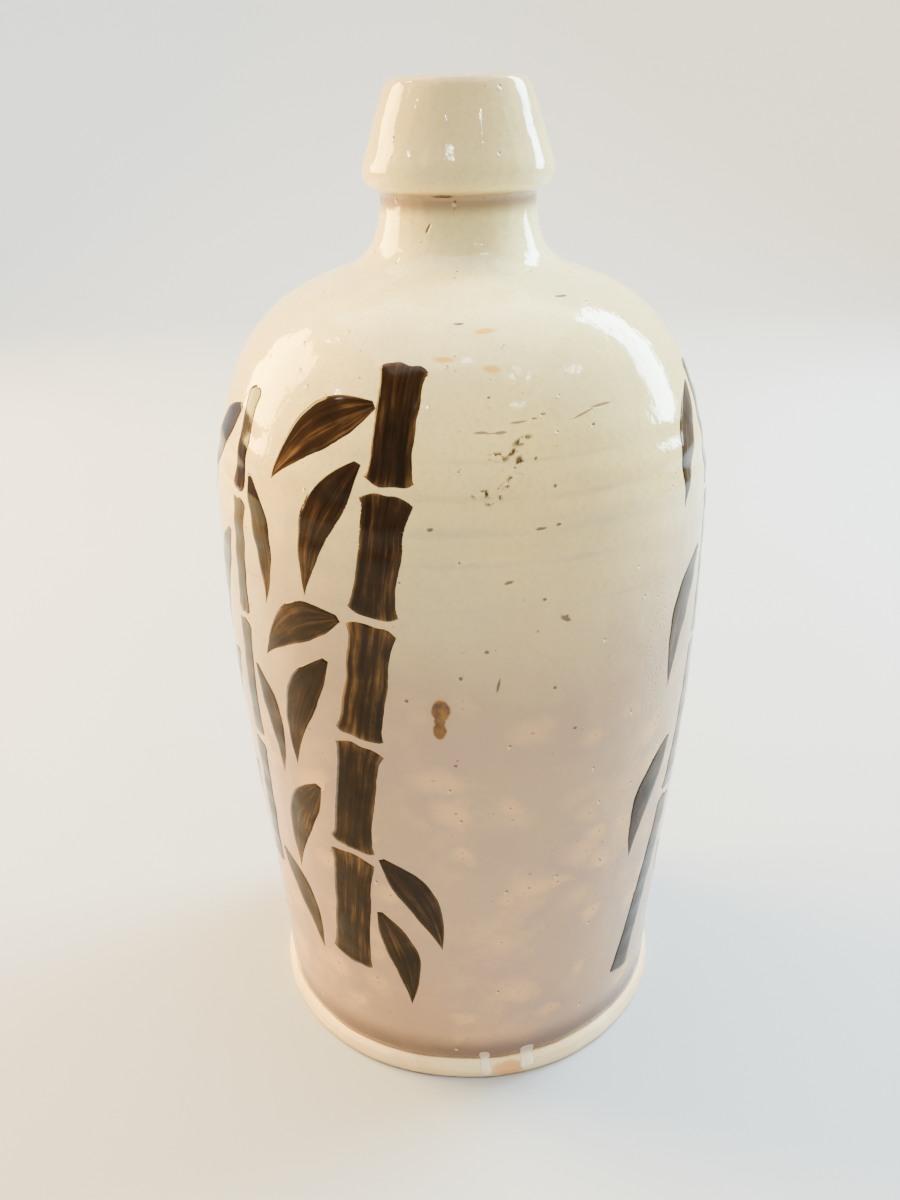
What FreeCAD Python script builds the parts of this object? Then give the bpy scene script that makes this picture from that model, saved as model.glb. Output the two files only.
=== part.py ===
"""A one-sho stoneware sake bottle: clay sections luted together, glazed outside and in, with iron brushwork.

Millimetres, +Z up, origin at the centre of the face the bottle stands on. Azimuths are degrees from the front
(-Y), positive towards +X. Outlines are drawn in the half plane y = 0, x >= 0 as (radius, height), then revolved.
"""

import FreeCAD, Part
import math
import os

V = FreeCAD.Vector

# Glazed outside
HEIGHT = 262.0
BELLY_R = 66.3            # widest, a little above mid height
BELLY_Z = 150.0
WALL_FOOT_R = 57.5        # glazed wall just above the foot
NECK_R = 19.7             # the cord groove under the collar
COLLAR_R = 23.9           # widest part of the umbrella-shaped collar
CROWN_R = 15.2            # the collar's rounded top turns level here
MOUTH_R = 12.0            # glazed bore

# Bare foot
FOOT_R = 58.9             # stands a little proud of the wall
FOOT_WIDE_Z = 3.8
FOOT_TOP = 6.5            # base disc meets wall
FOOT_RING_R = 48.0        # inner edge of the ring the bottle stands on
UNDERSIDE_RISE = 1.6      # how far the turned underside is hollowed
UNDERSIDE_SLOPE = 2.4     # width of the slope from the ring up to the hollow

# Levels
GLAZE_LINE = 7.2          # the outer glaze stops here
FLOOR_Z = 10.0            # clay floor inside
COLLAR_JOINT_Z = 236.3
SPIGOT_TOP = 246.0
SHOULDER_JOINT_R = 33.0
SHOULDER_JOINT_Z = 217.2

# Thicknesses and joints
GLAZE = 0.4
WALL_FOOT_T = 8.0
WALL_BELLY_T = 6.2
SHOULDER_T = 5.6
SPIGOT_R = 16.0           # neck spigot inside the collar
FLOOR_CORNER_R = 7.0      # the coil worked into the corner between floor and wall
HOLLOW_STRAIGHT_Z = 28.0  # the hollow runs nearly straight up from the corner to here
LIP_ROUND = 1.8           # glazed radius where the lip turns into the mouth
BORE_FOOT_Z = 229.0       # the bore flares out below this

# Glaze runs over the bare foot
RUN_T = 0.8
RUN_LOWEST = 1.0
RUNS = [                  # azimuth, width, lowest point
    (4.4, 5.2, 1.2),
    (17.5, 6.4, 2.4),
]

# Brushwork: three stems of bamboo
STALK_PROFILE = [         # share of the length, share of the width: waisted between two knuckles
    (0.0, 1.0),
    (0.14, 0.874),
    (0.5, 0.84),
    (0.86, 0.874),
    (1.0, 1.0),
]
LEAF_PROFILE = [          # narrow at the stem, widest before the middle, running out to a point
    (0.0, 0.18),
    (0.19, 0.8),
    (0.38, 1.0),
    (0.6, 0.8),
    (0.82, 0.4),
    (1.0, 0.0),
]
CUT_INSIDE_R = 45.0       # the strokes' prisms start inside the hollow and end outside the wall
CUT_OUTSIDE_R = 75.0
MEETING = 0.001           # two points this close are one
STALKS = [                # azimuth and height of top, azimuth and height of foot, width
    (-13.0, 205.0, -14.4, 180.5, 11.5),
    (-14.6, 178.5, -18.2, 149.5, 12.5),
    (-18.5, 147.5, -23.0, 116.0, 13.0),
    (-23.3, 114.0, -28.0, 80.0, 13.5),
    (-28.3, 78.0, -33.0, 37.0, 14.0),
    (-56.0, 196.0, -56.2, 172.0, 6.5),
    (-56.3, 170.0, -57.6, 139.0, 7.0),
    (-57.8, 137.0, -60.0, 101.0, 7.5),
    (-60.3, 99.0, -63.5, 56.0, 8.0),
    (76.0, 197.0, 73.5, 166.0, 8.0),
    (73.2, 164.0, 69.5, 126.0, 8.5),
    (69.0, 124.0, 62.5, 80.0, 9.0),
    (62.0, 78.0, 50.5, 21.0, 10.0),
]
LEAVES = [                # azimuth and height of stem, azimuth and height of tip, width, bow
    (-20.5, 197.0, -43.0, 178.0, 10.5, -0.10),
    (-21.5, 185.0, -34.0, 152.0, 10.0, -0.10),
    (-26.0, 148.0, -48.5, 131.0, 10.5, -0.12),
    (-30.0, 136.0, -42.0, 101.0, 10.0, -0.10),
    (-36.0, 97.0, -48.0, 63.0, 10.5, -0.10),
    (-20.0, 79.0, -7.0, 50.0, 10.0, 0.10),
    (-22.0, 60.0, -16.0, 27.0, 9.5, 0.08),
    (-61.5, 191.0, -78.5, 165.0, 9.5, -0.10),
    (-52.0, 177.0, -46.5, 146.0, 7.5, 0.10),
    (-62.5, 160.0, -75.0, 126.0, 9.0, -0.08),
    (-54.0, 126.0, -48.5, 95.0, 7.5, 0.10),
    (-66.0, 124.0, -81.0, 94.0, 9.5, -0.10),
    (-69.5, 86.0, -81.0, 50.0, 9.5, -0.10),
    (-57.0, 64.0, -45.0, 35.0, 9.5, 0.10),
    (69.0, 193.0, 55.5, 166.0, 9.5, -0.10),
    (81.5, 189.0, 98.5, 162.0, 10.0, 0.10),
    (64.5, 153.0, 53.0, 118.0, 9.5, -0.10),
    (77.5, 149.0, 92.5, 118.0, 10.0, 0.10),
    (74.0, 107.0, 88.0, 73.0, 10.5, 0.10),
    (56.5, 101.0, 45.5, 67.0, 10.0, -0.10),
    (67.0, 57.0, 79.5, 26.0, 10.5, 0.10),
]

FULL_TURN = 360.0
UP = V(0, 0, 1)


# ---- outline helpers ----

def point(r, z):
    return V(r, 0, z)


def smooth(points):
    """A smooth curve through the points."""
    curve = Part.BSplineCurve()
    curve.interpolate(points)
    return curve


def leftward(points, depths):
    """The points moved square to their own curve, to its left, by one depth or by a depth each."""
    curve = smooth(points)
    if not isinstance(depths, list):
        depths = [depths] * len(points)
    moved = []
    for p, depth in zip(points, depths):
        t = V(curve.tangent(curve.parameter(p))[0])
        t.normalize()
        moved.append(p + V(-t.z, 0, t.x) * depth)
    return moved


def line(a, b):
    return Part.LineSegment(a, b).toShape()


def quarter(centre, start, end):
    """A quarter circle about the centre, from start to end."""
    radius = start.distanceToPoint(centre)
    middle = (start + end) * 0.5 - centre
    middle.normalize()
    return Part.Arc(start, centre + middle * radius, end).toShape()


def revolved(edges):
    """The solid of revolution about Z of one closed outline."""
    wire = Part.Wire(Part.__sortEdges__(edges))
    solid = Part.Face(wire).revolve(V(0, 0, 0), UP, FULL_TURN)
    if solid.ShapeType != "Solid":
        solid = Part.Solid(solid.Shells[0])
    if solid.Volume < 0:
        solid.reverse()
    return solid


# ---- the glazed outside, from the foot up to the lip ----

SHOULDER_JOINT = point(SHOULDER_JOINT_R, SHOULDER_JOINT_Z)
NECK_CORNER = point(NECK_R, COLLAR_JOINT_Z)
CROWN_EDGE = point(CROWN_R, HEIGHT)
LIP_CENTRE = point(MOUTH_R + LIP_ROUND, HEIGHT - LIP_ROUND)

wall_points = [
    point(WALL_FOOT_R, GLAZE_LINE),
    point(58.5, 24.0),
    point(61.4, 57.0),
    point(64.6, 97.0),
    point(BELLY_R, BELLY_Z),
    point(65.2, 172.5),
    point(60.9, 189.3),
    point(52.6, 204.6),
    point(42.6, 213.0),
    SHOULDER_JOINT,
]
neck_points = [
    SHOULDER_JOINT,
    point(26.6, 219.8),
    point(22.4, 223.6),
    point(20.3, 228.8),
    point(NECK_R, 232.6),
    NECK_CORNER,
]
collar_points = [
    NECK_CORNER,
    point(22.8, 238.1),
    point(COLLAR_R, 241.4),
    point(22.6, 246.2),
    point(20.7, 252.4),
    point(19.1, 257.0),
    point(18.0, 259.7),
    point(16.7, 261.5),
    CROWN_EDGE,
]

# ---- the clay under it ----

clay_wall_points = leftward(wall_points, GLAZE)
clay_neck_points = leftward(neck_points, GLAZE)
clay_collar_points = leftward(collar_points, GLAZE)
CLAY_JOINT = clay_wall_points[-1]
CLAY_CORNER = point(NECK_R - GLAZE, COLLAR_JOINT_Z + GLAZE * 0.7)
CLAY_CROWN_EDGE = point(CROWN_R, HEIGHT - GLAZE)
CLAY_BORE_R = MOUTH_R + GLAZE
clay_neck_points[0] = CLAY_JOINT
clay_neck_points[-1] = CLAY_CORNER
clay_collar_points[0] = CLAY_CORNER
clay_collar_points[-1] = CLAY_CROWN_EDGE
clay_wall = smooth(clay_wall_points).toShape()
clay_neck = smooth(clay_neck_points).toShape()
clay_collar = smooth(clay_collar_points).toShape()

# ---- the hollow: the wall thins upwards ----

wall_depths = [WALL_FOOT_T, 7.8, 7.4, 6.8, WALL_BELLY_T, 6.0, 5.8, SHOULDER_T, SHOULDER_T, SHOULDER_T]
hollow_points = leftward(wall_points, wall_depths)
hollow_points[0] = point(hollow_points[0].x + 0.5, FLOOR_Z + FLOOR_CORNER_R)
hollow_points[1] = point(hollow_points[1].x, HOLLOW_STRAIGHT_Z)
HOLLOW_JOINT = hollow_points[-1]
FLOOR_EDGE = point(hollow_points[0].x - FLOOR_CORNER_R, FLOOR_Z)
CORNER_CENTRE = FLOOR_EDGE + UP * FLOOR_CORNER_R
throat_points = [
    HOLLOW_JOINT,
    point(23.4, 214.9),
    point(17.0, 218.6),
    point(13.5, 223.4),
    point(12.6, 226.4),
    point(CLAY_BORE_R, BORE_FOOT_Z),
]
lining_points = leftward(hollow_points, GLAZE)
lining_points[0] = hollow_points[0] - point(GLAZE, 0)
lining_throat_points = leftward(throat_points, GLAZE)
lining_throat_points[0] = lining_points[-1]
lining_throat_points[-1] = point(MOUTH_R, BORE_FOOT_Z)
hollow = smooth(hollow_points).toShape()
throat = smooth(throat_points).toShape()
lining = smooth(lining_points).toShape()
lining_throat = smooth(lining_throat_points).toShape()


# ---- the clay sections ----

def base_disc():
    """The floor: a bare foot with a rounded edge and hollowed underside, and a boss that centres the wall."""
    ring_outer = point(FOOT_R - 0.9, 0)
    seat_outer = point(WALL_FOOT_R - GLAZE, FOOT_TOP)
    seat_inner = point(FLOOR_EDGE.x, FOOT_TOP)
    ring_inner = point(FOOT_RING_R, 0)
    rise_edge = point(FOOT_RING_R - UNDERSIDE_SLOPE, UNDERSIDE_RISE)
    rise_centre = point(0, UNDERSIDE_RISE)
    foot_edge = smooth([
        ring_outer,
        point(FOOT_R - 0.2, 1.2),
        point(FOOT_R, FOOT_WIDE_Z),
        point(FOOT_R - 0.5, FOOT_TOP - 1.1),
        seat_outer,
    ]).toShape()
    return revolved([
        line(rise_centre, rise_edge),
        line(rise_edge, ring_inner),
        line(ring_inner, ring_outer),
        foot_edge,
        line(seat_outer, seat_inner),
        line(seat_inner, FLOOR_EDGE),
        line(FLOOR_EDGE, point(0, FLOOR_Z)),
        line(point(0, FLOOR_Z), rise_centre),
    ])


def body_wall():
    """The thrown wall, from its seat on the base disc to the sloping joint under the neck."""
    seat_outer = point(WALL_FOOT_R - GLAZE, FOOT_TOP)
    seat_inner = point(FLOOR_EDGE.x, FOOT_TOP)
    return revolved([
        line(seat_outer, clay_wall_points[0]),
        clay_wall,
        line(CLAY_JOINT, HOLLOW_JOINT),
        hollow,
        quarter(CORNER_CENTRE, hollow_points[0], FLOOR_EDGE),
        line(FLOOR_EDGE, seat_inner),
        line(seat_inner, seat_outer),
    ])


def neck():
    """The neck, luted on the shoulder, with a spigot that runs up inside the collar."""
    spigot_foot = point(SPIGOT_R, CLAY_CORNER.z)
    spigot_top = point(SPIGOT_R, SPIGOT_TOP)
    bore_top = point(CLAY_BORE_R, SPIGOT_TOP)
    return revolved([
        clay_neck,
        line(CLAY_CORNER, spigot_foot),
        line(spigot_foot, spigot_top),
        line(spigot_top, bore_top),
        line(bore_top, throat_points[-1]),
        throat,
        line(HOLLOW_JOINT, CLAY_JOINT),
    ])


def mouth_collar():
    """The solid umbrella-shaped collar, socketed over the neck's spigot."""
    spigot_foot = point(SPIGOT_R, CLAY_CORNER.z)
    spigot_top = point(SPIGOT_R, SPIGOT_TOP)
    bore_foot = point(CLAY_BORE_R, SPIGOT_TOP)
    lip_side = point(CLAY_BORE_R, LIP_CENTRE.z)
    lip_top = point(LIP_CENTRE.x, HEIGHT - GLAZE)
    return revolved([
        clay_collar,
        line(CLAY_CROWN_EDGE, lip_top),
        quarter(LIP_CENTRE, lip_top, lip_side),
        line(lip_side, bore_foot),
        line(bore_foot, spigot_top),
        line(spigot_top, spigot_foot),
        line(spigot_foot, CLAY_CORNER),
    ])


# ---- the glaze, its runs and the strokes in it ----

def whole_outer_glaze():
    """The outside skin of glaze, from the glaze line to the crown of the lip."""
    lip_top = point(LIP_CENTRE.x, HEIGHT)
    lip_under = point(LIP_CENTRE.x, HEIGHT - GLAZE)
    return revolved([
        smooth(wall_points).toShape(),
        smooth(neck_points).toShape(),
        smooth(collar_points).toShape(),
        line(CROWN_EDGE, lip_top),
        line(lip_top, lip_under),
        line(lip_under, CLAY_CROWN_EDGE),
        clay_collar,
        clay_neck,
        clay_wall,
        line(clay_wall_points[0], wall_points[0]),
    ])


def inner_glaze():
    """The lining, from the crown of the lip down the mouth and all round the hollow."""
    lip_top = point(LIP_CENTRE.x, HEIGHT)
    lip_under = point(LIP_CENTRE.x, HEIGHT - GLAZE)
    lip_side = point(MOUTH_R, LIP_CENTRE.z)
    lip_side_clay = point(CLAY_BORE_R, LIP_CENTRE.z)
    floor_edge = FLOOR_EDGE + UP * GLAZE
    return revolved([
        line(lip_under, lip_top),
        quarter(LIP_CENTRE, lip_top, lip_side),
        line(lip_side, lining_throat_points[-1]),
        lining_throat,
        lining,
        quarter(CORNER_CENTRE, lining_points[0], floor_edge),
        line(floor_edge, point(0, floor_edge.z)),
        line(point(0, floor_edge.z), point(0, FLOOR_Z)),
        line(point(0, FLOOR_Z), FLOOR_EDGE),
        quarter(CORNER_CENTRE, FLOOR_EDGE, hollow_points[0]),
        hollow,
        throat,
        line(throat_points[-1], lip_side_clay),
        quarter(LIP_CENTRE, lip_side_clay, lip_under),
    ])


def radial_prism(azimuth, one_side, other_side):
    """A prism that points outwards at this azimuth.

    Its outline is two smooth sides of (sideways, height) points, joined by straight ends where they don't meet.
    """
    left = [V(side, -CUT_INSIDE_R, z) for side, z in one_side]
    right = [V(side, -CUT_INSIDE_R, z) for side, z in other_side]
    edges = [smooth(left).toShape(), smooth(right).toShape()]
    for a, b in ((left[0], right[0]), (left[-1], right[-1])):
        if a.distanceToPoint(b) > MEETING:
            edges.append(line(a, b))
    wire = Part.Wire(Part.__sortEdges__(edges))
    prism = Part.Face(wire).extrude(V(0, CUT_INSIDE_R - CUT_OUTSIDE_R, 0))
    prism.rotate(V(0, 0, 0), UP, azimuth)
    return prism


def stroke_prism(profile, azimuth_a, z_a, azimuth_b, z_b, width, bow=0.0):
    """A prism for one stroke of the brush, from end a to end b.

    The bow is how far its middle stands off the straight line, as a share of its length.
    """
    middle = (azimuth_a + azimuth_b) / 2
    side_a = BELLY_R * math.radians(azimuth_a - middle)
    side_b = BELLY_R * math.radians(azimuth_b - middle)
    length = math.hypot(side_b - side_a, z_b - z_a)
    along = ((side_b - side_a) / length, (z_b - z_a) / length)
    one_side = []
    other_side = []
    for share, width_share in profile:
        half = width / 2 * width_share
        aside = 4 * bow * length * share * (1 - share)
        side = side_a + (side_b - side_a) * share - along[1] * aside
        z = z_a + (z_b - z_a) * share + along[0] * aside
        one_side.append((side - along[1] * half, z + along[0] * half))
        other_side.append((side + along[1] * half, z - along[0] * half))
    return radial_prism(middle, one_side, other_side)


def brush_prisms():
    """A prism for every stroke of the brush."""
    stalks = [stroke_prism(STALK_PROFILE, *size) for size in STALKS]
    leaves = [stroke_prism(LEAF_PROFILE, *size) for size in LEAVES]
    return stalks + leaves


def brush_strokes(glaze, prisms):
    """Every stroke as its own inlay, as deep as the glaze."""
    strokes = []
    for prism in prisms:
        strokes.extend(glaze.common(prism).Solids)
    return strokes


def outer_glaze(glaze, prisms):
    """The outside skin with a pocket for each stroke."""
    for prism in prisms:
        glaze = glaze.cut(prism)
    return glaze.Solids


def run_layer():
    """A ring over the upper foot, swelling to one run's thickness, that the glaze runs are cut from."""
    top = point(WALL_FOOT_R, GLAZE_LINE)
    swell = point(FOOT_R + RUN_T * 0.2, FOOT_TOP - 0.3)
    fullest = point(FOOT_R + RUN_T, FOOT_WIDE_Z)
    toe = point(FOOT_R - 0.2, RUN_LOWEST)
    inner_top = point(FOOT_RING_R, GLAZE_LINE)
    inner_toe = point(FOOT_RING_R, RUN_LOWEST)
    ring = revolved([
        smooth([top, swell, fullest, toe]).toShape(),
        line(toe, inner_toe),
        line(inner_toe, inner_top),
        line(inner_top, top),
    ])
    return ring.cut([base_disc(), body_wall()])


def glaze_runs():
    """Drips of glaze that ran down over the bare foot, each a rounded tongue."""
    ring = run_layer()
    runs = []
    for azimuth, width, low in RUNS:
        half = width / 2
        shoulder = low + (GLAZE_LINE - low) * 0.35
        top = GLAZE_LINE + 1.0
        one_side = [(half, top), (half * 0.75, shoulder), (0, low)]
        other_side = [(-half, top), (-half * 0.75, shoulder), (0, low)]
        runs.extend(ring.common(radial_prism(azimuth, one_side, other_side)).Solids)
    return runs


def save(name, solids):
    """One STEP file for a node: a single solid, or a group of separate ones."""
    shape = solids[0] if len(solids) == 1 else Part.makeCompound(solids)
    for solid in solids:
        if not solid.isValid() or solid.Volume <= 0:
            raise ValueError(name + " has a bad solid")
    shape.exportStep("parts/" + name + ".step")
    print(name, len(solids), "solids,", round(shape.Volume / 1000, 2), "cm3")


os.makedirs("parts", exist_ok=True)
glaze = whole_outer_glaze()
prisms = brush_prisms()
save("base_disc", [base_disc()])
save("body_wall", [body_wall()])
save("neck", [neck()])
save("mouth_collar", [mouth_collar()])
save("inner_glaze", [inner_glaze()])
save("brush_strokes", brush_strokes(glaze, prisms))
save("outer_glaze", outer_glaze(glaze, prisms))
save("glaze_runs", glaze_runs())
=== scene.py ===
"""A stoneware sake bottle: thrown clay, cream glaze outside and in, and brushed bamboo in iron brown.

Pieces are lathed closed shells that share one set of outlines and one warp, so every layer follows the
others. Outlines are in millimetres as (radius, height). Azimuths are degrees from the front (-Y), positive
towards +X.
"""

import bmesh
import bpy
import math
from mathutils import Matrix, Quaternion, Vector, noise
import numpy as np


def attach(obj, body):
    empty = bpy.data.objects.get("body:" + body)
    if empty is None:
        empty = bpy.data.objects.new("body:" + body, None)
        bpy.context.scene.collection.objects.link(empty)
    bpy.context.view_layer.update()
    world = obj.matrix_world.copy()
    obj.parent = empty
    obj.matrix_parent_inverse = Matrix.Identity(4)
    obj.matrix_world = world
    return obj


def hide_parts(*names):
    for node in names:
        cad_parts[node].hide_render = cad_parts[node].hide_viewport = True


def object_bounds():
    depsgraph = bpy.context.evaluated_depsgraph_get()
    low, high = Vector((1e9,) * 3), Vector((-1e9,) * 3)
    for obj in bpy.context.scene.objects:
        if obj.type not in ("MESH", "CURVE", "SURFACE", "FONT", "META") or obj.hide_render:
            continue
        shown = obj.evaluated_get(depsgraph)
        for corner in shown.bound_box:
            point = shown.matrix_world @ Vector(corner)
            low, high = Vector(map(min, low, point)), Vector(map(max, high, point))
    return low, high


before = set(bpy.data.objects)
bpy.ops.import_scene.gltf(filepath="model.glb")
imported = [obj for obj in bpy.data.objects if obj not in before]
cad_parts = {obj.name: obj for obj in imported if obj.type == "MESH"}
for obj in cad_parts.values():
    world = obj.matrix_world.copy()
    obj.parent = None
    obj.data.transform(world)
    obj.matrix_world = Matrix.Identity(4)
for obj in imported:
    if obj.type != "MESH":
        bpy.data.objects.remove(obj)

cad_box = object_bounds()
MM = 0.001
HEIGHT = (cad_box[1][2] - cad_box[0][2]) / MM

# ---- shape ----

BELLY_R = 66.3
WALL_FOOT_R = 57.5            # glazed wall just above the foot
NECK_R = 19.7
COLLAR_R = 23.9
CROWN_R = 15.2                # the collar's rounded top turns level here
MOUTH_R = 12.0
LIP_ROUND = 1.8               # where the lip turns into the mouth
SHOULDER_JOINT = (33.0, 217.2)
NECK_CORNER = (NECK_R, 236.3)
GLAZE = 0.4
GLAZE_LINE = 7.2              # the outer glaze stops here
FLOOR_Z = 10.0
FLOOR_CORNER_R = 7.0          # the coil worked into the corner between floor and wall
CORNER_TUCK = 0.9             # how far the hollow draws in towards that corner
CORNER_REACH = 6.0            # how far above it the drawing in starts
BORE_FOOT_Z = 229.0
SPIGOT_R = 16.0               # neck spigot inside the collar
SPIGOT_TOP = 246.0
FOOT_R = 58.9
FOOT_WIDE_Z = 3.8
FOOT_TOP = 6.5                # base disc meets wall
FOOT_RIM_R = 58.0
FOOT_RING_R = 48.0            # inner edge of the ring the bottle stands on
UNDERSIDE_RISE = 1.6
UNDERSIDE_SLOPE = 2.4
SEAT_R = WALL_FOOT_R - GLAZE

WALL = [(WALL_FOOT_R, GLAZE_LINE), (58.5, 24.0), (61.4, 57.0), (64.6, 97.0), (BELLY_R, 150.0),
        (65.2, 172.5), (60.9, 189.3), (52.6, 204.6), (42.6, 213.0), SHOULDER_JOINT]
WALL_DEPTHS = [8.0, 7.8, 7.4, 6.8, 6.2, 6.0, 5.8, 5.6, 5.6, 5.6]
NECK = [SHOULDER_JOINT, (26.6, 219.8), (22.4, 223.6), (20.3, 228.8), (NECK_R, 232.6), NECK_CORNER]
COLLAR = [NECK_CORNER, (22.8, 238.1), (COLLAR_R, 241.4), (22.6, 246.2), (20.7, 252.4), (19.1, 257.0),
          (18.0, 259.7), (16.7, 261.5), (CROWN_R, HEIGHT)]
THROAT = [(23.4, 214.9), (17.0, 218.6), (13.5, 223.4), (12.6, 226.4), (MOUTH_R + GLAZE, BORE_FOOT_Z)]
GLAZE_ROLL = [(57.15, 6.9), (WALL_FOOT_R, 6.8)]
FOOT_EDGE = [(FOOT_RIM_R, 0.0), (58.7, 1.2), (FOOT_R, FOOT_WIDE_Z), (58.4, 5.4), (SEAT_R, FOOT_TOP)]
UNDERSIDE = [(0.0, UNDERSIDE_RISE), (FOOT_RING_R - UNDERSIDE_SLOPE, UNDERSIDE_RISE), (FOOT_RING_R, 0.0),
             (FOOT_RIM_R, 0.0)]

# Fineness: points this far apart along an outline, and this many round it
MEETING = 0.02                # points closer than this are one
ON_AXIS = 1e-6
GLAZE_SPACING = 1.05
CLAY_SPACING = 2.0
HIDDEN_SPACING = 3.0
GLAZE_SEGMENTS = 288
FOOT_SEGMENTS = 240
CLAY_SEGMENTS = 144
STAGE_SEGMENTS = 96

# ---- how far the hand-made shape strays from a true turned one, in millimetres ----

COLLAR_LEAN = (0.6, 0.1)      # the collar sits off the axis
LEAN_FROM_Z = 214.0
LEAN_REACH = 26.0
LIP_TILT = 0.25               # the lip isn't quite level
TILT_FROM_Z = 225.0
OVAL = 0.3
LOPSIDED = 0.22               # the belly is fuller on one side
LUMP = 0.3                   # broad unevenness of the wall
RIPPLE = 0.065                # small undulation that breaks up the highlights
RING_PITCH = 8.5              # throwing rings
RING_DEPTH = 0.1
RING_BAND_Z = 172.0           # deepest about here
JOINT_LUMP = 0.35             # the luted joint under the neck
JOINT_LUMP_Z = 217.4
LINE_WANDER = 0.7             # how far the glaze line wanders up and down
PITS = [                      # azimuth, height, radius, depth
    (-6.0, 171.6, 1.9, 0.3),
    (16.3, 153.8, 1.3, 0.26),
    (4.7, 142.0, 1.5, 0.26),
    (21.1, 148.6, 1.3, 0.22),
    (24.0, 118.0, 1.4, 0.2),
    (-2.0, 111.0, 1.2, 0.2),
    (120.0, 160.0, 1.8, 0.28),
    (171.0, 96.0, 1.6, 0.28),
    (-150.0, 133.0, 1.9, 0.3),
    (-118.0, 61.0, 1.5, 0.25),
    (208.0, 182.0, 1.4, 0.25),
]

# ---- runs of glaze over the foot ----

RUN_TOP = 10.5                # where a run starts, under the skin of the wall
RUN_FREE = 6.5                # below this it stands free of the skin
RUN_BACK = -0.4               # its inner face, behind the surface
RUN_SUNK = 0.15               # how far its top lies under the surface
RUN_COLUMNS = 14
RUN_ROWS = 30
RUNS = [                      # azimuth, width, lowest point, thickness, lean
    (4.4, 3.8, 0.9, 0.5, 0.3),
    (17.3, 5.0, 1.7, 0.55, -1.6),
]

# ---- brushwork ----

# Share of the length and share of the width: a stalk is waisted between two knuckles, and a leaf is narrow
# at the stem, widest before the middle, and runs out to a point
STALK_PROFILE = [(0.0, 1.0), (0.14, 0.8736), (0.5, 0.84), (0.86, 0.8736), (1.0, 1.0)]
LEAF_PROFILE = [(0.0, 0.18), (0.19, 0.8), (0.38, 1.0), (0.6, 0.8), (0.82, 0.4), (1.0, 0.0)]
STROKE_PROUD = 0.05
STROKE_DEPTH = 0.2
STROKE_STEP = 0.8             # rows of points this far apart along a stroke
STROKE_LANES = 12             # and this many columns across it
STROKE_FINEST = 0.06          # half width of a leaf's tip
END_REACH = 4.0               # how far into a stalk its frayed ends reach
END_ROUND = 1.3
STALKS = [                    # azimuth and height of top, azimuth and height of foot, width
    (-13.0, 205.0, -14.4, 180.5, 11.5),
    (-14.6, 178.5, -18.2, 149.5, 12.5),
    (-18.5, 147.5, -23.0, 116.0, 13.0),
    (-23.3, 114.0, -28.0, 80.0, 13.5),
    (-28.3, 78.0, -33.0, 37.0, 14.0),
    (-56.0, 196.0, -56.2, 172.0, 6.5),
    (-56.3, 170.0, -57.6, 139.0, 7.0),
    (-57.8, 137.0, -60.0, 101.0, 7.5),
    (-60.3, 99.0, -63.5, 56.0, 8.0),
    (76.0, 197.0, 73.5, 166.0, 8.0),
    (73.2, 164.0, 69.5, 126.0, 8.5),
    (69.0, 124.0, 62.5, 80.0, 9.0),
    (62.0, 78.0, 50.5, 21.0, 10.0),
]
LEAVES = [                    # azimuth and height of stem, azimuth and height of tip, width, bow
    (-20.5, 197.0, -43.0, 178.0, 10.5, -0.1),
    (-21.5, 185.0, -34.0, 152.0, 10.0, -0.1),
    (-26.0, 148.0, -48.5, 131.0, 10.5, -0.12),
    (-30.0, 136.0, -42.0, 101.0, 10.0, -0.1),
    (-36.0, 97.0, -48.0, 63.0, 10.5, -0.1),
    (-20.0, 79.0, -7.0, 50.0, 10.0, 0.1),
    (-22.0, 60.0, -16.0, 27.0, 9.5, 0.08),
    (-61.5, 191.0, -78.5, 165.0, 9.5, -0.1),
    (-52.0, 177.0, -46.5, 146.0, 7.5, 0.1),
    (-62.5, 160.0, -75.0, 126.0, 9.0, -0.08),
    (-54.0, 126.0, -48.5, 95.0, 7.5, 0.1),
    (-66.0, 124.0, -81.0, 94.0, 9.5, -0.1),
    (-69.5, 86.0, -81.0, 50.0, 9.5, -0.1),
    (-57.0, 64.0, -45.0, 35.0, 9.5, 0.1),
    (69.0, 193.0, 55.5, 166.0, 9.5, -0.1),
    (81.5, 189.0, 98.5, 162.0, 10.0, 0.1),
    (64.5, 153.0, 53.0, 118.0, 9.5, -0.1),
    (77.5, 149.0, 92.5, 118.0, 10.0, 0.1),
    (74.0, 107.0, 88.0, 73.0, 10.5, 0.1),
    (56.5, 101.0, 45.5, 67.0, 10.0, -0.1),
    (67.0, 57.0, 79.5, 26.0, 10.5, 0.1),
]

# ---- camera: distances as multiples of the bottle's height, angles in degrees ----

CAMERA_BACK = 1.1045
CAMERA_UP = 0.9825
CAMERA_LENS = 33.0
TILT = 24.57
YAW = -0.71
ROLL = -1.2


def make_camera():
    """A camera in front of the bottle and level with its mouth, looking down at it."""
    tilt = math.radians(TILT)
    yaw = math.radians(YAW)
    roll = math.radians(ROLL)
    forward = Vector((math.sin(yaw) * math.cos(tilt), math.cos(yaw) * math.cos(tilt), -math.sin(tilt)))
    right = forward.cross(Vector((0, 0, 1))).normalized()
    up = right.cross(forward)
    turned_right = right * math.cos(roll) + up * math.sin(roll)
    turned_up = up * math.cos(roll) - right * math.sin(roll)
    data = bpy.data.cameras.new("camera")
    data.lens = CAMERA_LENS
    data.clip_start = 0.01
    camera = bpy.data.objects.new("camera", data)
    place = Matrix((turned_right, turned_up, -forward)).transposed().to_4x4()
    place.translation = Vector((0, -CAMERA_BACK, CAMERA_UP)) * HEIGHT * MM
    camera.matrix_world = place
    bpy.context.scene.collection.objects.link(camera)
    bpy.context.scene.camera = camera


make_camera()


# ---- outlines ----

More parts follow.
